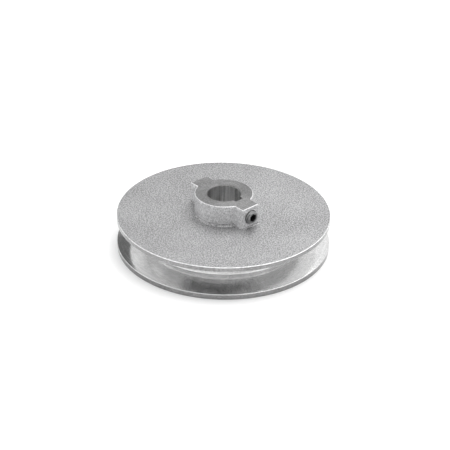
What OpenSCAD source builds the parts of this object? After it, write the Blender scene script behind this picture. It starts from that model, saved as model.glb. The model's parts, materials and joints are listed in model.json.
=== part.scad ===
// Single-groove V-belt pulley: a die-cast sheave with an offset hub, and the socket
// set screw that locks it to a shaft. Millimetres. The origin is on the bore axis at the
// rear face, +Z runs along the bore to the hub's nose, and +X runs out along the set screw.

/* [Rim] */
// Outside diameter of the two flanges (4 in)
rim_d = 101.6; // [96:0.1:120]
// Width of the rim across both flanges
rim_w = 17; // [16:0.1:18]
// Width of the rear flange's outer land
rear_land = 2.7; // [1.6:0.1:3]
// Width of the front flange's outer land
front_land = 2.3; // [1.6:0.1:3]
// Corner break on the flanges
land_break = 0.4; // [0.2:0.1:0.7]

/* [Groove] */
// Included angle of the V groove
groove_angle = 34; // [32:1:38]
// Depth of the groove below the outside diameter
groove_depth = 11.7; // [9:0.1:12]
// Metal left under the floor of the groove
root_wall = 3.2; // [2.5:0.1:5]

/* [Web] */
// Thickness of the web, which lies flush with the front flange
web_t = 6; // [4:0.1:8]
// Draft of the pocket's walls
pocket_draft = 2; // [1:0.5:4]

/* [Hub] */
// Outside diameter of the hub
hub_d = 27.6; // [25:0.1:31]
// Length through the bore, from the rear face to the hub's nose
hub_l = 27.3; // [26:0.1:32]
// Diameter of the shaft bore (5/8 in)
bore_d = 15.875; // [12:0.005:16]
// Chamfer at each end of the bore
bore_chamfer = 0.5; // [0.2:0.1:0.8]
// Corner break around the hub's nose
nose_break = 0.5; // [0.2:0.1:1]
// Fillet between the hub and the web
hub_fillet = 1.2; // [0.8:0.1:3]

/* [Keyway] */
// Width of the keyway (3/16 in)
key_w = 4.7625; // [3:0.0025:5]
// Distance from the bore axis to the floor of the keyway
key_floor = 9.95; // [9.5:0.01:10.5]
// Turn of the keyway from the set screw's axis
key_turn = 5; // [0:1:10]

/* [Bosses] */
// Width of each boss
boss_w = 10.2; // [9:0.1:12]
// Distance from the bore axis to the set-screw boss's flat face
boss_reach = 18.5; // [17.5:0.1:20]
// Distance from the bore axis to the plain boss's flat face
plain_reach = 18; // [17.5:0.1:20]
// Blend radius where a boss runs into the hub
boss_blend = 1; // [0.6:0.1:3]
// Radius on a boss's upright corners
boss_corner = 0.4; // [0.3:0.1:1.5]

/* [Set screw] */
// Major diameter of the thread (1/4-20)
screw_d = 6.35; // [5:0.01:6.35]
// Length of the set screw (5/16 in)
screw_l = 7.94; // [6.3:0.01:9.5]
// Height of the screw's axis above the rear face
screw_z = 22.2; // [21.5:0.1:22.7]
// How far the backed-out screw stands proud of its boss
screw_proud = 1.65; // [0:0.05:3]
// Socket size across flats (1/8 in)
hex_af = 3.175; // [2:0.005:3.2]
// Depth of the socket
hex_depth = 3.2; // [2:0.1:4]
// Diameter of the cup point's rim
cup_d = 3.4; // [2.5:0.1:4]

/* [Hidden] */

// Radial play between the screw's crests and the tapped hole
thread_play = 0.05;
screw_chamfer = 0.6;
cup_angle = 118;
groove_corner = 1;
pocket_corner = 1.5;
arc_steps = 6;
over = 1;

rim_r = rim_d / 2;
hub_r = hub_d / 2;
bore_r = bore_d / 2;
screw_r = screw_d / 2;
cup_r = cup_d / 2;
root_r = rim_r - groove_depth;
groove_rise = tan(groove_angle / 2);
groove_run = groove_depth * groove_rise;
pocket_depth = rim_w - web_t;
pocket_slip = pocket_depth * tan(pocket_draft);
pocket_outer_r = root_r - root_wall;
pocket_inner_r = hub_r - pocket_slip;
screw_head_x = boss_reach + screw_proud;

// Points of an arc about (cx, cy) from angle a0 to a1
function arc(cx, cy, r, a0, a1) = [
    for (i = [0 : arc_steps])
        let (a = a0 + (a1 - a0) * i / arc_steps)
        [cx + r * cos(a), cy + r * sin(a)]
];

// The floor of the groove, rounded into both walls
groove_lean = 90 - groove_angle / 2;
groove_tuck = groove_corner * tan(groove_lean / 2);
groove_floor_z0 = rear_land + groove_run;
groove_floor_z1 = rim_w - front_land - groove_run;
groove_floor = concat(
    arc(root_r + groove_corner, groove_floor_z0 + groove_tuck, groove_corner, 180 + groove_lean, 180),
    arc(root_r + groove_corner, groove_floor_z1 - groove_tuck, groove_corner, 180, 180 - groove_lean)
);

// The rear pocket between the hub and the rim, from its inner mouth to its outer mouth
pocket = concat(
    [[pocket_inner_r, 0]],
    arc(hub_r + pocket_corner, pocket_depth - pocket_corner, pocket_corner, 180, 90),
    arc(pocket_outer_r - pocket_slip - pocket_corner, pocket_depth - pocket_corner, pocket_corner, 90, 0),
    [[pocket_outer_r, 0]]
);

// Half section of the casting, before it is bored: r along X, z along Y
section = concat(
    [[0, 0]],
    pocket,
    [
        [rim_r - land_break, 0],
        [rim_r, land_break],
        [rim_r, rear_land - land_break / 2],
        [rim_r - land_break / 2, rear_land + land_break / 2 * groove_rise],
    ],
    groove_floor,
    [
        [rim_r - land_break / 2, rim_w - front_land - land_break / 2 * groove_rise],
        [rim_r, rim_w - front_land + land_break / 2],
        [rim_r, rim_w - land_break],
        [rim_r - land_break, rim_w],
    ],
    arc(hub_r + hub_fillet, rim_w + hub_fillet, hub_fillet, 270, 180),
    [
        [hub_r, hub_l - nose_break],
        [hub_r - nose_break, hub_l],
        [0, hub_l],
    ]
);

// Plan of a boss: square-ended, with rounded corners and sides blended into the hub
module boss_plan(reach) {
    half = boss_w / 2;
    blend_y = half + boss_blend;
    blend_x = sqrt(pow(hub_r + boss_blend, 2) - pow(blend_y, 2));
    translate([0, boss_corner - half])
        square([reach, boss_w - 2 * boss_corner]);
    translate([0, -half])
        square([reach - boss_corner, boss_w]);
    for (side = [-1, 1]) {
        translate([reach - boss_corner, side * (half - boss_corner)])
            circle(r = boss_corner, $fn = 32);
        difference() {
            polygon([[0, 0], [blend_x, side * blend_y], [blend_x, 0]]);
            translate([blend_x, side * blend_y])
                circle(r = boss_blend, $fn = 64);
        }
    }
}

// A boss standing on the web beside the hub, as high as the hub's nose
module boss(reach) {
    base_z = rim_w - over;
    translate([0, 0, base_z])
        linear_extrude(hub_l - base_z)
            boss_plan(reach);
}

// The shaft bore, with a chamfer at each end
module bore() {
    mouth_r = bore_r + bore_chamfer;
    translate([0, 0, -over])
        cylinder(h = hub_l + 2 * over, r = bore_r, $fn = 120);
    cylinder(h = bore_chamfer, r1 = mouth_r, r2 = bore_r, $fn = 120);
    translate([0, 0, hub_l - bore_chamfer])
        cylinder(h = bore_chamfer, r1 = bore_r, r2 = mouth_r, $fn = 120);
}

// The broached keyway, open at both ends of the bore
module keyway() {
    rotate([0, 0, key_turn])
        translate([0, -key_w / 2, -over])
            cube([key_floor, key_w, hub_l + 2 * over]);
}

// The set screw's tapped hole, from the boss's face into the bore
module tapped_hole() {
    translate([0, 0, screw_z])
        rotate([0, 90, 0])
            cylinder(h = boss_reach + over, r = screw_r + thread_play, $fn = 64);
}

// The die casting: rim, web, hub and both bosses in one piece
module sheave() {
    color("silver")
        difference() {
            union() {
                rotate_extrude($fn = 180)
                    polygon(section);
                boss(boss_reach);
                rotate([0, 0, 180])
                    boss(plain_reach);
            }
            bore();
            keyway();
            tapped_hole();
        }
}

// Headless set screw along +X, with its hex socket outward and its cup point inward
module set_screw() {
    cup_depth = cup_r / tan(cup_angle / 2);
    point_slope = screw_r - cup_r;
    color("dimgray")
        translate([screw_head_x, 0, screw_z])
            rotate([0, -90, 0])
                difference() {
                    union() {
                        cylinder(h = screw_chamfer, r1 = screw_r - screw_chamfer, r2 = screw_r, $fn = 64);
                        translate([0, 0, screw_chamfer])
                            cylinder(h = screw_l - screw_chamfer - point_slope, r = screw_r, $fn = 64);
                        translate([0, 0, screw_l - point_slope])
                            cylinder(h = point_slope, r1 = screw_r, r2 = cup_r, $fn = 64);
                    }
                    translate([0, 0, -over])
                        rotate([0, 0, 30])
                            cylinder(h = hex_depth + over, r = hex_af / 2 / cos(30), $fn = 6);
                    translate([0, 0, screw_l - cup_depth])
                        cylinder(h = cup_depth, r1 = 0, r2 = cup_r, $fn = 64);
                }
}

sheave();
set_screw();
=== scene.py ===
"""Looks of the V-belt pulley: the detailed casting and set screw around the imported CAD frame."""
import json
from math import acos, asin, atan2, cos, hypot, pi, radians, sin, sqrt, tan

import bmesh
import bpy
import numpy as np
from mathutils import Matrix, Vector


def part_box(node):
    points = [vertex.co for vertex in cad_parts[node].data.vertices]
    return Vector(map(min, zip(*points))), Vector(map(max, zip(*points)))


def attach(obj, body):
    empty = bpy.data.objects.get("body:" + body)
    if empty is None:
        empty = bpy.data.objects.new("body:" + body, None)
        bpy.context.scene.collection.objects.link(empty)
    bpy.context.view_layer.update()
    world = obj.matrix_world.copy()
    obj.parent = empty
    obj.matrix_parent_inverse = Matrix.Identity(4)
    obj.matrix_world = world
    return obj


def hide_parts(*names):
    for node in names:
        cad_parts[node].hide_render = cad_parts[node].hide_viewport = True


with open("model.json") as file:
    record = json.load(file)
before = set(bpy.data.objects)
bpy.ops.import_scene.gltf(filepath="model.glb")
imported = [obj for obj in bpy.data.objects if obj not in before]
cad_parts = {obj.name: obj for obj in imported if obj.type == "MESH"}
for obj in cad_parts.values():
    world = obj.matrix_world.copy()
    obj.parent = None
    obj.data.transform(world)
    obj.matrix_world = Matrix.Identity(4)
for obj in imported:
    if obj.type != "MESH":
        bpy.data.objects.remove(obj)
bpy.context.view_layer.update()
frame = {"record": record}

SCENE = bpy.context.scene
MM = 0.001

# ---- Sizes, from the frame where it has them, in metres ----
MOUNTS = {mount["name"]: mount for mount in frame["record"]["mounts"]}
SHEAVE_LOW, SHEAVE_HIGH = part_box("sheave")
SCREW_LOW, SCREW_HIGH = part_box("set_screw")

RIM_R = min(SHEAVE_HIGH.x, SHEAVE_HIGH.y, -SHEAVE_LOW.x, -SHEAVE_LOW.y)
HUB_L = SHEAVE_HIGH.z
BORE_R = MOUNTS["shaft_bore"]["dims"]["r_mm"] * MM
BORE_CHAMFER = (HUB_L - MOUNTS["shaft_bore"]["dims"]["length_mm"] * MM) / 2
KEY_X, KEY_Y, _ = MOUNTS["keyway"]["pos_m"]
KEY_FLOOR = hypot(KEY_X, KEY_Y)
KEY_TURN = atan2(KEY_Y, KEY_X)
KEY_W = 4.7625 * MM

RIM_W = 17 * MM
GROOVE_W = 12 * MM
GROOVE_DEPTH = 11.7 * MM
GROOVE_HALF_ANGLE = radians(17)
GROOVE_CROWN = 0.08 * MM
GROOVE_MID = MOUNTS["belt_groove"]["pos_m"][2]
ROOT_R = RIM_R - GROOVE_DEPTH
ROOT_ROUND = 0.4 * MM
WEB_T = 6 * MM
WEB_RINGS = [24 * MM, 32 * MM, 40 * MM, 47 * MM]
POCKET_OUTER_R = ROOT_R - 3.2 * MM
# How far the pocket's walls lean over its depth
POCKET_DRAFT = 0.37 * MM
POCKET_ROUND = 1.5 * MM
POCKET_LIP = 0.4 * MM

HUB_R = 13.8 * MM
NOSE_ROUND = 0.3 * MM
RIM_ROUND = 0.35 * MM
LIP_ROUND = 0.3 * MM
HUB_FOOT = 1.2 * MM
BOSS_FOOT = 0.7 * MM
BOSS_HALF = 5.1 * MM
BOSS_REACH = 18.5 * MM
PLAIN_REACH = 18.0 * MM
BOSS_BLEND = 1 * MM
BOSS_CORNER = 0.4 * MM

SCREW_R = SCREW_HIGH.y
SCREW_HEAD = SCREW_HIGH.x
SCREW_TIP = SCREW_LOW.x
SCREW_Z = (SCREW_LOW.z + SCREW_HIGH.z) / 2
PITCH = 1.27 * MM
THREAD_DEPTH = 0.78 * MM
THREAD_PLAY = 0.08 * MM
# Shares of the pitch in the thread's root and in its two flanks
THREAD_ROOT = 0.25
THREAD_FLANKS = 0.625
THREAD_STEP = PITCH / 20
COUNTERSINK = 0.25 * MM
HEX_HALF = 1.5875 * MM
HEX_DEPTH = 3.2 * MM
HEX_BREAK = 0.2 * MM
HEX_FLARE = 1.08
SOCKET_CONE = 0.6 * MM
HEAD_FLAT_R = 2.35 * MM
HEAD_CHAMFER_R = 2.45 * MM
CUP_R = 1.7 * MM
CUP_EDGE_R = CUP_R * 0.82
CUP_DEPTH = CUP_R * 0.55
POINT_R = CUP_R + 0.15 * MM

# Material slots, in order
CAST, PAINTED_LIGHT_WALL, NOSE, TURNED, PAINTED_SHADE_LAND, BORED, KEYWAY_PAINTED_SHADE = range(7)
END, THREAD, SOCKET_PAINTED_SHADE = range(3)
# Play allowed where a face's place decides its material
SLACK = 0.02 * MM
KEYWAY_SLACK = 0.2 * MM


# ---- Mesh helpers ----
def lathe(name, rings, loop, bands, materials):
    """A closed mesh through rings of points. With loop, the last ring joins the first, and
    otherwise the end rings are single points. bands holds the material slot between each two."""
    bm = bmesh.new()
    rows = [[bm.verts.new(point) for point in ring] for ring in rings]
    pairs = list(zip(rows, rows[1:]))
    if loop:
        pairs.append((rows[-1], rows[0]))
    for (low, high), band in zip(pairs, bands):
        count = max(len(low), len(high))
        for j in range(count):
            k = (j + 1) % count
            corners = [
                low[j % len(low)], low[k % len(low)],
                high[k % len(high)], high[j % len(high)],
            ]
            face = bm.faces.new(list(dict.fromkeys(corners)))
            face.material_index = band
    bmesh.ops.recalc_face_normals(bm, faces=bm.faces)
    mesh = bpy.data.meshes.new(name)
    bm.to_mesh(mesh)
    bm.free()
    obj = bpy.data.objects.new(name, mesh)
    SCENE.collection.objects.link(obj)
    for material in materials:
        mesh.materials.append(material)
    return obj


def finish_shading(obj, crease):
    """Marks edges sharper than crease, so that flats stay flat beside their rounded edges."""
    bm = bmesh.new()
    bm.from_mesh(obj.data)
    for edge in bm.edges:
        edge.smooth = len(edge.link_faces) == 2 and edge.calc_face_angle(0) < crease
    for face in bm.faces:
        face.smooth = True
    bm.to_mesh(obj.data)
    bm.free()
    weighted = obj.modifiers.new("flats", "WEIGHTED_NORMAL")
    weighted.keep_sharp = True
    weighted.weight = 100


def rounded(corners, steps=6):
    """The outline through corners of (r, z, radius), each turned by an arc of its radius."""
    points = []
    for i, (r, z, radius) in enumerate(corners):
        here = Vector((r, z))
        if radius == 0 or i in (0, len(corners) - 1):
            points.append(here)
            continue
        back = (Vector(corners[i - 1][:2]) - here).normalized()
        ahead = (Vector(corners[i + 1][:2]) - here).normalized()
        half = acos(max(-1, min(1, back.dot(ahead)))) / 2
        centre = here + (back + ahead).normalized() * radius / sin(half)
        start = here + back * radius / tan(half) - centre
        end = here + ahead * radius / tan(half) - centre
        turn = start.angle_signed(end)
        for step in range(steps + 1):
            points.append(centre + Matrix.Rotation(-turn * step / steps, 2) @ start)
    return points


def crowned(start, end, steps=8):
    """Points between start and end, raised a little to the left of that way."""
    start, end = Vector(start), Vector(end)
    left = (end - start).normalized().orthogonal()
    shares = [step / steps for step in range(1, steps)]
    return [
        (*(start.lerp(end, share) + left * GROOVE_CROWN * 4 * share * (1 - share)), 0)
        for share in shares
    ]


# ---- Plan outlines, as polar radius and outward normal at each angle ----
def ray_to_circle(angle, centre, radius, far):
    """Distance from the axis along angle to a circle, and the normal away from its centre."""
    along = centre[0] * cos(angle) + centre[1] * sin(angle)
    across = centre[1] * cos(angle) - centre[0] * sin(angle)
    reach = sqrt(max(radius ** 2 - across ** 2, 0))
    distance = along + reach if far else along - reach
    normal = (distance * cos(angle) - centre[0], distance * sin(angle) - centre[1])
    return distance, (normal[0] / radius, normal[1] / radius)


class Boss:
    """A square-ended boss beside the hub, in its own frame with its flat face at x = reach."""

    def __init__(self, reach):
        self.reach = reach
        blend_y = BOSS_HALF + BOSS_BLEND
        self.blend = (sqrt((HUB_R + BOSS_BLEND) ** 2 - blend_y ** 2), blend_y)
        self.corner = (reach - BOSS_CORNER, BOSS_HALF - BOSS_CORNER)
        self.flat_end = atan2(self.corner[1], reach)
        self.side_start = atan2(BOSS_HALF, self.corner[0])
        self.side_end = atan2(BOSS_HALF, self.blend[0])
        self.hub_start = atan2(self.blend[1], self.blend[0])

    def angles(self):
        """Angles on one half of the boss, dense where it turns."""
        return np.concatenate([
            np.linspace(0, self.flat_end, 12),
            np.linspace(self.flat_end, self.side_start, 9),
            np.linspace(self.side_start, self.side_end, 6),
            np.linspace(self.side_end, self.hub_start, 15),
        ])

    def at(self, angle):
        """Radius, outward normal and foot fillet at an angle from the boss's axis."""
        side = 1 if angle >= 0 else -1
        turn = abs(angle)
        foot = BOSS_FOOT
        if turn < self.flat_end:
            radius, normal = self.reach / cos(turn), (1, 0)
        elif turn < self.side_start:
            radius, normal = ray_to_circle(turn, self.corner, BOSS_CORNER, True)
        elif turn < self.side_end:
            radius, normal = BOSS_HALF / sin(turn), (0, 1)
        elif turn < self.hub_start:
            radius, normal = ray_to_circle(turn, self.blend, BOSS_BLEND, False)
            normal = (-normal[0], -normal[1])
            share = (turn - self.side_end) / (self.hub_start - self.side_end)
            foot += (HUB_FOOT - BOSS_FOOT) * share
        else:
            radius, normal = HUB_R, (cos(turn), sin(turn))
            foot = HUB_FOOT
        return radius, (normal[0], side * normal[1]), foot


def wrap(angle):
    """The same angle, between -pi and pi."""
    return (angle + pi) % (2 * pi) - pi


def bore_radius(angle, wall_r):
    """The bore's outline with its keyway."""
    turn = abs(wrap(angle - KEY_TURN))
    if turn > pi / 4:
        return wall_r
    slot = min(KEY_FLOOR / cos(turn), KEY_W / 2 / max(sin(turn), 1e-9))
    return max(wall_r, slot)


def plan_angles(bosses):
    """Every angle at which the casting's rings have a point."""
    found = [radians(a) for a in np.arange(0, 360, 1.0)]
    for axis, boss in bosses:
        half = boss.angles()
        found = [a for a in found if abs(wrap(a - axis)) > boss.hub_start]
        found += list(axis + half) + list(axis - half[1:])
    for wall_r in (BORE_R, BORE_R + BORE_CHAMFER):
        for turn in (asin(KEY_W / 2 / wall_r), atan2(KEY_W / 2, KEY_FLOOR)):
            found += [KEY_TURN + turn, KEY_TURN - turn]
    found = sorted(wrap(a) for a in found)
    return [a for a, b in zip(found, found[1:] + [found[0] + 2 * pi]) if b - a > 1e-5]


def circle(angles, radius, z):
    return [(radius * cos(a), radius * sin(a), z) for a in angles]


def casting_rings(angles, bosses):
    """Rings of the casting and the material slot after each, from the bore's rear mouth up
    through the bore, and back to it round the outside."""
    outline = []
    for angle in angles:
        axis, boss = min(bosses, key=lambda item: abs(wrap(angle - item[0])))
        radius, normal, foot = boss.at(wrap(angle - axis))
        normal = Matrix.Rotation(axis, 2) @ Vector(normal)
        outline.append((radius * cos(angle), radius * sin(angle), normal, foot))

    def hub_ring(offset, z):
        return [(x + n.x * offset, y + n.y * offset, z) for x, y, n, _ in outline]

    def bore_ring(wall_r, z):
        radii = [bore_radius(a, wall_r) for a in angles]
        return [(r * cos(a), r * sin(a), z) for r, a in zip(radii, angles)]

    rings, bands = [], []

    def add(ring, band):
        rings.append(ring)
        bands.append(band)

    add(bore_ring(BORE_R + BORE_CHAMFER, 0), BORED)
    add(bore_ring(BORE_R, BORE_CHAMFER), BORED)
    add(bore_ring(BORE_R, HUB_L - BORE_CHAMFER), NOSE)
    add(bore_ring(BORE_R + BORE_CHAMFER, HUB_L), NOSE)

    # The nose's rounded edge and the side walls of the hub and bosses take the cast alloy painted
    # about twice as bright: painted light
    for turn in np.linspace(0, pi / 2, 6):
        add(hub_ring(NOSE_ROUND * (sin(turn) - 1), HUB_L - NOSE_ROUND * (1 - cos(turn))), PAINTED_LIGHT_WALL)
    for turn in np.linspace(0, pi / 2, 9):
        out, up = 1 - cos(turn), 1 - sin(turn)
        add([
            (x + n.x * foot * out, y + n.y * foot * out, RIM_W + foot * up)
            for x, y, n, foot in outline
        ], CAST)
    for radius in WEB_RINGS:
        add(circle(angles, radius, RIM_W), CAST)

    run = GROOVE_DEPTH * tan(GROOVE_HALF_ANGLE)
    groove_front, groove_rear = GROOVE_MID + GROOVE_W / 2, GROOVE_MID - GROOVE_W / 2
    pocket_z = RIM_W - WEB_T
    rim = [
        (WEB_RINGS[-1], RIM_W, 0),
        (RIM_R, RIM_W, RIM_ROUND),
        (RIM_R, groove_front, LIP_ROUND),
        *crowned((RIM_R, groove_front), (ROOT_R, groove_front - run)),
        (ROOT_R, groove_front - run, ROOT_ROUND),
        (ROOT_R, groove_rear + run, ROOT_ROUND),
        *crowned((ROOT_R, groove_rear + run), (RIM_R, groove_rear)),
        (RIM_R, groove_rear, LIP_ROUND),
        (RIM_R, 0, RIM_ROUND),
        (POCKET_OUTER_R, 0, POCKET_LIP),
        (POCKET_OUTER_R - POCKET_DRAFT, pocket_z, POCKET_ROUND),
        (HUB_R, pocket_z, POCKET_ROUND),
        (HUB_R - POCKET_DRAFT, 0, POCKET_LIP),
        (BORE_R + BORE_CHAMFER, 0, 0),
    ]
    for r, z in rounded(rim)[1:-1]:
        # The flanges' outer lands take the turned alloy painted much darker than the groove's:
        # painted shade
        if r > RIM_R - SLACK:
            band = PAINTED_SHADE_LAND
        elif r > ROOT_R - SLACK and groove_rear < z < groove_front:
            band = TURNED
        # The rim's rounded outer edges take the same brighter copy of the cast alloy: a painted
        # highlight
        elif r > RIM_R - RIM_ROUND - SLACK:
            band = PAINTED_LIGHT_WALL
        else:
            band = CAST
        add(circle(angles, r, z), band)
    return rings, bands


# ---- Threads ----
def thread_radius(x, angle, crest):
    """Radius of a right-hand thread about an axis along X."""
    share = (x / PITCH - angle / (2 * pi)) % 1
    flank = abs(share - 0.5) * 2
    rise = min(max((flank - THREAD_ROOT) / THREAD_FLANKS, 0), 1)
    return crest - THREAD_DEPTH * (1 - rise)


def about_screw(angles, radii, x):
    """A ring about the set screw's axis."""
    return [(x, r * sin(a), SCREW_Z + r * cos(a)) for r, a in zip(radii, angles)]


def threaded_cutter():
    """What the drill and the tap take out of the boss, from outside its face into the bore."""
    angles = np.linspace(0, 2 * pi, 72, endpoint=False)
    inner, outer = BORE_R - 2 * MM, BOSS_REACH + 1 * MM
    crest = SCREW_R + THREAD_PLAY
    rings = [[(inner, 0, SCREW_Z)]]
    for x in np.arange(inner, outer, THREAD_STEP):
        sink = crest + COUNTERSINK - max(BOSS_REACH - x, 0)
        radii = [max(thread_radius(x, a, crest), sink) for a in angles]
        rings.append(about_screw(angles, radii, x))
    rings.append([(outer, 0, SCREW_Z)])
    return lathe("cutter", rings, False, [0] * len(rings), [])


def screw_rings():
    """Rings of the set screw and the material slot after each, from the bottom of its socket
    round the outside into its cup."""
    angles = np.linspace(0, 2 * pi, 96, endpoint=False)
    head, tip = SCREW_HEAD, SCREW_TIP

    def hexagon(scale):
        return [scale * HEX_HALF / cos((a % (pi / 3)) - pi / 6) for a in angles]

    def ring(radii, x):
        return about_screw(angles, radii, x)

    def plain(radius, x):
        return about_screw(angles, [radius] * len(angles), x)

    rings = [
        [(head - HEX_DEPTH - SOCKET_CONE, 0, SCREW_Z)],
        ring(hexagon(1), head - HEX_DEPTH),
        ring(hexagon(1), head - HEX_BREAK),
        ring(hexagon(HEX_FLARE), head),
        plain(HEAD_FLAT_R, head),
    ]
    # The socket's walls take the near-black steel: partly its black oxide, partly painted shade in
    # the recess
    bands = [SOCKET_PAINTED_SHADE, SOCKET_PAINTED_SHADE, SOCKET_PAINTED_SHADE, END]
    for x in np.arange(head, tip, -THREAD_STEP):
        cone = min(HEAD_CHAMFER_R + (head - x), POINT_R + (x - tip))
        rings.append(ring([min(thread_radius(x, a, SCREW_R), cone) for a in angles], x))
        bands.append(THREAD)
    rings += [plain(CUP_R, tip), plain(CUP_EDGE_R, tip), [(tip + CUP_DEPTH, 0, SCREW_Z)]]
    bands += [THREAD, END, END]
    return rings, bands


# ---- Materials ----
# Noise scales that more than one finish shares
DULLING, PITS, GRAIN = 300, 420, 1700


class Nodes:
    """Short calls for building one material's nodes."""

    def __init__(self, name):
        self.material = bpy.data.materials.new(name)
        self.material.use_nodes = True
        self.tree = self.material.node_tree
        self.shader = self.tree.nodes["Principled BSDF"]
        self.place = self.add("ShaderNodeTexCoord").outputs["Object"]

    def add(self, kind, **settings):
        node = self.tree.nodes.new(kind)
        for key, value in settings.items():
            setattr(node, key, value)
        return node

    def link(self, source, target):
        self.tree.links.new(source, target)

    def noise(self, scale, detail=3.0, rough=0.55, stretch=None):
        place = self.place
        if stretch:
            mapping = self.add("ShaderNodeMapping")
            mapping.inputs["Scale"].default_value = stretch
            self.link(place, mapping.inputs["Vector"])
            place = mapping.outputs["Vector"]
        node = self.add("ShaderNodeTexNoise")
        node.inputs["Scale"].default_value = scale
        node.inputs["Detail"].default_value = detail
        node.inputs["Roughness"].default_value = rough
        self.link(place, node.inputs["Vector"])
        return node.outputs["Fac"]

    def ramp(self, value, low, high):
        """Spreads the middle of a noise's range over low to high."""
        node = self.add("ShaderNodeMapRange", clamp=True)
        self.link(value, node.inputs["Value"])
        node.inputs["From Min"].default_value = 0.3
        node.inputs["From Max"].default_value = 0.7
        node.inputs["To Min"].default_value = low
        node.inputs["To Max"].default_value = high
        return node.outputs["Result"]

    def math(self, operation, a, b):
        node = self.add("ShaderNodeMath", operation=operation)
        for socket, value in zip(node.inputs, (a, b)):
            if isinstance(value, (int, float)):
                socket.default_value = value
            else:
                self.link(value, socket)
        return node.outputs["Value"]

    def grey(self, value, tint=(1.0, 1.0, 1.0)):
        """A near-neutral colour of brightness value."""
        node = self.add("ShaderNodeCombineColor")
        for socket, share in zip(node.inputs, tint):
            self.link(self.math("MULTIPLY", value, share), socket)
        return node.outputs["Color"]

    def bump(self, height, distance, under=None):
        node = self.add("ShaderNodeBump")
        node.inputs["Distance"].default_value = distance
        node.inputs["Strength"].default_value = 1
        self.link(height, node.inputs["Height"])
        if under:
            self.link(under, node.inputs["Normal"])
        return node.outputs["Normal"]

    def finish(self, colour, roughness, normal, metallic):
        self.link(colour, self.shader.inputs["Base Color"])
        self.link(roughness, self.shader.inputs["Roughness"])
        self.link(normal, self.shader.inputs["Normal"])
        self.shader.inputs["Metallic"].default_value = metallic
        return self.material


def cast_alloy(name, low, high, rough, grain):
    """Die-cast alloy, blasted to a fine even grain, with faint flow mottling."""
    n = Nodes(name)
    mottle = n.noise(45, 5)
    speckle = n.noise(GRAIN, 1, 0.5)
    pits = n.noise(PITS, 3)
    brightness = n.math("ADD", n.ramp(mottle, low, high), n.ramp(speckle, -grain, grain))
    worn = n.ramp(pits, rough - 0.05, rough + 0.05)
    roughness = n.math("ADD", worn, n.ramp(speckle, -0.06, 0.06))
    normal = n.bump(speckle, 0.00008 * grain)
    normal = n.bump(pits, 0.00004, under=normal)
    return n.finish(n.grey(brightness, (1.0, 1.0, 1.01)), roughness, normal, 0.85)


def faced_alloy(name, low, high):
    """Alloy faced in a lathe, whose fine circular marks draw its gloss out across them."""
    n = Nodes(name)
    way = n.add("ShaderNodeTangent", direction_type="RADIAL", axis="Z")
    n.link(way.outputs["Tangent"], n.shader.inputs["Tangent"])
    n.shader.inputs["Anisotropic"].default_value = 0.3
    n.shader.inputs["Anisotropic Rotation"].default_value = 0.25
    speckle = n.noise(GRAIN, 1, 0.5)
    brightness = n.math("ADD", n.ramp(n.noise(90, 3), low, high), n.ramp(speckle, -0.06, 0.06))
    roughness = n.ramp(n.noise(DULLING, 2), 0.36, 0.42)
    return n.finish(n.grey(brightness), roughness, n.bump(n.noise(PITS, 3), 0.00003), 0.9)


def turned_alloy(name, low, high):
    """Alloy turned in a lathe: fine circular tool marks about the bore's axis, slightly dulled."""
    n = Nodes(name)
    split = n.add("ShaderNodeSeparateXYZ")
    n.link(n.place, split.inputs["Vector"])
    x_square, y_square = (n.math("POWER", split.outputs[axis], 2.0) for axis in "XY")
    radius = n.math("SQRT", n.math("ADD", x_square, y_square), 0.0)
    across = n.add("ShaderNodeCombineXYZ")
    n.link(radius, across.inputs["X"])
    n.link(split.outputs["Z"], across.inputs["Y"])
    marks = n.add("ShaderNodeTexNoise", noise_dimensions="2D")
    n.link(across.outputs["Vector"], marks.inputs["Vector"])
    marks.inputs["Scale"].default_value = 2600
    speckle = n.noise(1300, 2, 0.7)
    brightness = n.math("ADD", n.ramp(n.noise(120, 3), low, high), n.ramp(speckle, -0.08, 0.08))
    brightness = n.math("ADD", brightness, n.ramp(marks.outputs["Fac"], -0.03, 0.03))
    roughness = n.ramp(n.noise(DULLING, 2), 0.13, 0.19)
    normal = n.bump(n.noise(260, 1), 0.00002)
    return n.finish(n.grey(brightness), roughness, normal, 1.0)


def bored_alloy(name, low, high):
    """Reamed bore and broached keyway: streaks along the bore's axis."""
    n = Nodes(name)
    streaks = n.noise(900, 2, stretch=(1.0, 1.0, 0.03))
    brightness = n.math("ADD", n.ramp(streaks, low, high), n.ramp(n.noise(1500, 2), -0.05, 0.05))
    roughness = n.ramp(streaks, 0.3, 0.42)
    return n.finish(n.grey(brightness), roughness, n.bump(streaks, 0.00003), 1.0)


def dark_steel(name, low, high, rough):
    """Heat-treated steel with a worn black-oxide finish."""
    n = Nodes(name)
    wear = n.noise(900, 4)
    brightness = n.ramp(wear, low, high)
    roughness = n.ramp(n.noise(1500, 2), rough, rough + 0.12)
    return n.finish(n.grey(brightness, (0.98, 0.99, 1.0)), roughness, n.bump(wear, 0.00002), 0.9)


def pale_floor():
    """A white table that glows a little, as a light table does."""
    n = Nodes("studio_floor")
    brightness = n.ramp(n.noise(3), *FLOOR_WHITE)
    n.shader.inputs["Emission Color"].default_value = (1, 1, 1, 1)
    n.shader.inputs["Emission Strength"].default_value = FLOOR_GLOW
    roughness = n.ramp(n.noise(8), 0.6, 0.7)
    return n.finish(n.grey(brightness), roughness, n.bump(n.noise(200), 0.0001), 0.0)


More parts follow.
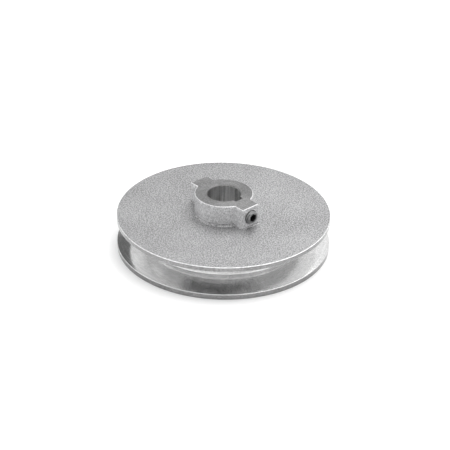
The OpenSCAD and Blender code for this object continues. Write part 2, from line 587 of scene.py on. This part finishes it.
# ---- The two pieces ----
def build_casting():
    bosses = [(0.0, Boss(BOSS_REACH)), (pi, Boss(PLAIN_REACH))]
    rings, bands = casting_rings(plan_angles(bosses), bosses)
    finishes = [
        cast_alloy("cast_alloy_grained", 0.3, 0.36, 0.5, 0.19),
        # The same cast alloy painted about twice as bright, as painted light on walls and rounded
        # edges
        cast_alloy("cast_alloy_wall", 0.66, 0.72, 0.45, 0.2),
        faced_alloy("faced_alloy", 0.2, 0.26),
        turned_alloy("turned_alloy", 0.65, 0.71),
        # The same turned alloy painted much darker, as painted shade on the lands
        turned_alloy("turned_land", 0.24, 0.3),
        bored_alloy("bored_alloy", 0.44, 0.98),
        # The bored finish painted darker, as painted shade in the keyway
        bored_alloy("broached_alloy", 0.15, 0.35),
    ]
    casting = lathe("pulley_casting", rings, True, bands, finishes)
    # The keyway's faces take the darker copy of the bored finish: painted shade in the slot
    for face in casting.data.polygons:
        x, y, z = face.center
        in_keyway = hypot(x, y) > BORE_R + KEYWAY_SLACK and z > BORE_CHAMFER
        if face.material_index == BORED and in_keyway:
            face.material_index = KEYWAY_PAINTED_SHADE
    cutter = threaded_cutter()
    cut = casting.modifiers.new("tapped_hole", "BOOLEAN")
    cut.operation = "DIFFERENCE"
    cut.solver = "EXACT"
    cut.object = cutter
    evaluated = casting.evaluated_get(bpy.context.evaluated_depsgraph_get())
    shaped = bpy.data.meshes.new_from_object(evaluated)
    casting.modifiers.clear()
    casting.data = shaped
    bpy.data.objects.remove(cutter)
    finish_shading(casting, radians(32))
    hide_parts("sheave")
    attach(casting, "sheave")


def build_screw():
    rings, bands = screw_rings()
    finishes = [
        dark_steel("screw_end_steel", 0.2, 0.3, 0.35),
        dark_steel("screw_thread_steel", 0.26, 0.34, 0.35),
        # Near-black steel for the socket: partly its black oxide, partly painted shade in the
        # recess
        dark_steel("screw_socket_steel", 0.03, 0.05, 0.4),
    ]
    screw = lathe("socket_set_screw", rings, False, bands, finishes)
    finish_shading(screw, radians(35))
    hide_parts("set_screw")
    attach(screw, "set_screw")


# ---- Camera and studio ----
CAMERA_AZIMUTH = radians(47)
CAMERA_ELEVATION = radians(30.7)
CAMERA_DISTANCE = 14 * RIM_R
CAMERA_ROLL = radians(1.01)
# Half the view's width, and how far the origin lies from its middle, at the origin's distance
VIEW_HALF = 2.129 * RIM_R
ORIGIN_RIGHT = -0.0178 * RIM_R
ORIGIN_UP = -0.166 * RIM_R


def build_camera():
    data = bpy.data.cameras.new("camera")
    data.sensor_width = 36
    data.lens = data.sensor_width / 2 * CAMERA_DISTANCE / VIEW_HALF
    data.clip_start, data.clip_end = 0.05, 20
    camera = bpy.data.objects.new("camera", data)
    SCENE.collection.objects.link(camera)
    flat = cos(CAMERA_ELEVATION)
    back = Vector((sin(CAMERA_AZIMUTH) * flat, -cos(CAMERA_AZIMUTH) * flat, sin(CAMERA_ELEVATION)))
    right = Vector((cos(CAMERA_AZIMUTH), sin(CAMERA_AZIMUTH), 0))
    up = back.cross(right)
    roll = Matrix.Rotation(CAMERA_ROLL, 3, back)
    right, up = roll @ right, roll @ up
    place = back * CAMERA_DISTANCE
    target = -(right * ORIGIN_RIGHT + up * ORIGIN_UP)
    back = (place - target).normalized()
    right = (right - back * right.dot(back)).normalized()
    up = back.cross(right)
    turned = Matrix((right, up, back)).transposed().to_4x4()
    camera.matrix_world = Matrix.Translation(place) @ turned
    SCENE.camera = camera


def studio_point(right, away, up):
    """A place in metres as the camera sees it: to the right, away from it, and up."""
    turn = CAMERA_AZIMUTH
    return Vector((right * cos(turn) - away * sin(turn), right * sin(turn) + away * cos(turn), up))


def studio_direction(azimuth, elevation):
    """The way from the object to a place in the studio: azimuth in degrees, to the right from
    the camera's side, and elevation."""
    azimuth, elevation = radians(azimuth), radians(elevation)
    flat = cos(elevation)
    return studio_point(sin(azimuth) * flat, -cos(azimuth) * flat, sin(elevation))


TENT_WALL = 0.5
TENT_HORIZON = 1.2
# Elevations between which the bright horizon gives way to the wall
TENT_FADE = (radians(17), radians(27))
FLOOR_SIZE = 8
FLOOR_WHITE = (0.87, 0.89)
FLOOR_GLOW = 0.1
KEY_PLACE = (0.25, 0.3, 1.1)
KEY_AIM = Vector((0, 0, 0.01))
KEY_SIZE = 1.1
KEY_POWER = 10.5
# The light tent's panels and the darker gaps between them, in degrees: azimuth and elevation
# of the middle, radius and soft edge, and then the brightness
PANELS = {
    "overhead": (180, 88, 36, 10, 1.15),
    "left_side": (-92, 24, 22, 14, 1.15),
    "right_side": (95, 26, 26, 14, 1.0),
    "right_rear": (150, 30, 14, 12, 1.15),
    "rear_gap": (-154, 32, 12, 7, 0.17),
    "low_left": (-88, 4, 13, 8, 2.3),
    "low_left_front": (-55, 4, 14, 8, 1.9),
    "low_front": (-25, 3, 12, 8, 1.7),
    "low_right_front": (50, 4, 14, 8, 1.7),
    "front_left": (-76, 42, 15, 6, 0.95),
    "front_right": (75, 43, 15, 6, 0.95),
    "front_gap_left": (-38, 34, 14, 3, 0.22),
    "front_gap": (-6, 39, 14, 3, 0.18),
    "front_gap_right": (24, 50, 6, 3, 0.15),
    "front_gap_end": (43, 54, 4, 3, 0.25),
}


def build_tent():
    """Grey walls above a bright horizon, with the panels and the gaps on both."""
    world = bpy.data.worlds.new("light_tent")
    world.use_nodes = True
    tree = world.node_tree
    way = tree.nodes.new("ShaderNodeTexCoord").outputs["Generated"]

    def blend(under, over, value, start, end):
        """Turns from under to over as value goes from start to end."""
        share = tree.nodes.new("ShaderNodeMapRange")
        share.interpolation_type = "SMOOTHSTEP"
        tree.links.new(value, share.inputs["Value"])
        share.inputs["From Min"].default_value = start
        share.inputs["From Max"].default_value = end
        mix = tree.nodes.new("ShaderNodeMix")
        tree.links.new(share.outputs["Result"], mix.inputs["Factor"])
        for socket, level in (("A", under), ("B", over)):
            if isinstance(level, float):
                mix.inputs[socket].default_value = level
            else:
                tree.links.new(level, mix.inputs[socket])
        return mix.outputs["Result"]

    split = tree.nodes.new("ShaderNodeSeparateXYZ")
    tree.links.new(way, split.inputs["Vector"])
    low, high = TENT_FADE
    level = blend(TENT_HORIZON, TENT_WALL, split.outputs["Z"], sin(low), sin(high))
    for azimuth, elevation, radius, edge, brightness in PANELS.values():
        near = tree.nodes.new("ShaderNodeVectorMath")
        near.operation = "DOT_PRODUCT"
        tree.links.new(way, near.inputs[0])
        near.inputs[1].default_value = studio_direction(azimuth, elevation)
        outer, inner = cos(radians(radius + edge)), cos(radians(radius))
        level = blend(level, brightness, near.outputs["Value"], outer, inner)
    tree.links.new(level, tree.nodes["Background"].inputs["Strength"])
    tree.nodes["Background"].inputs["Color"].default_value = (1, 1, 1, 1)
    SCENE.world = world


def build_key_light():
    """One large soft light above the object, a little behind it and to its right."""
    data = bpy.data.lights.new("key", "AREA")
    data.shape = "RECTANGLE"
    data.size = data.size_y = KEY_SIZE
    data.energy = KEY_POWER
    light = bpy.data.objects.new("key", data)
    SCENE.collection.objects.link(light)
    light.location = studio_point(*KEY_PLACE)
    light.rotation_mode = "QUATERNION"
    light.rotation_quaternion = (KEY_AIM - light.location).to_track_quat("-Z", "Y")


def build_floor():
    bpy.ops.mesh.primitive_plane_add(size=FLOOR_SIZE, location=(0, 0, 0))
    floor = bpy.context.object
    floor.name = "studio_floor"
    floor.data.materials.append(pale_floor())


build_camera()
build_casting()
build_screw()
build_tent()
build_floor()
build_key_light()
SCENE.view_settings.view_transform = "Standard"
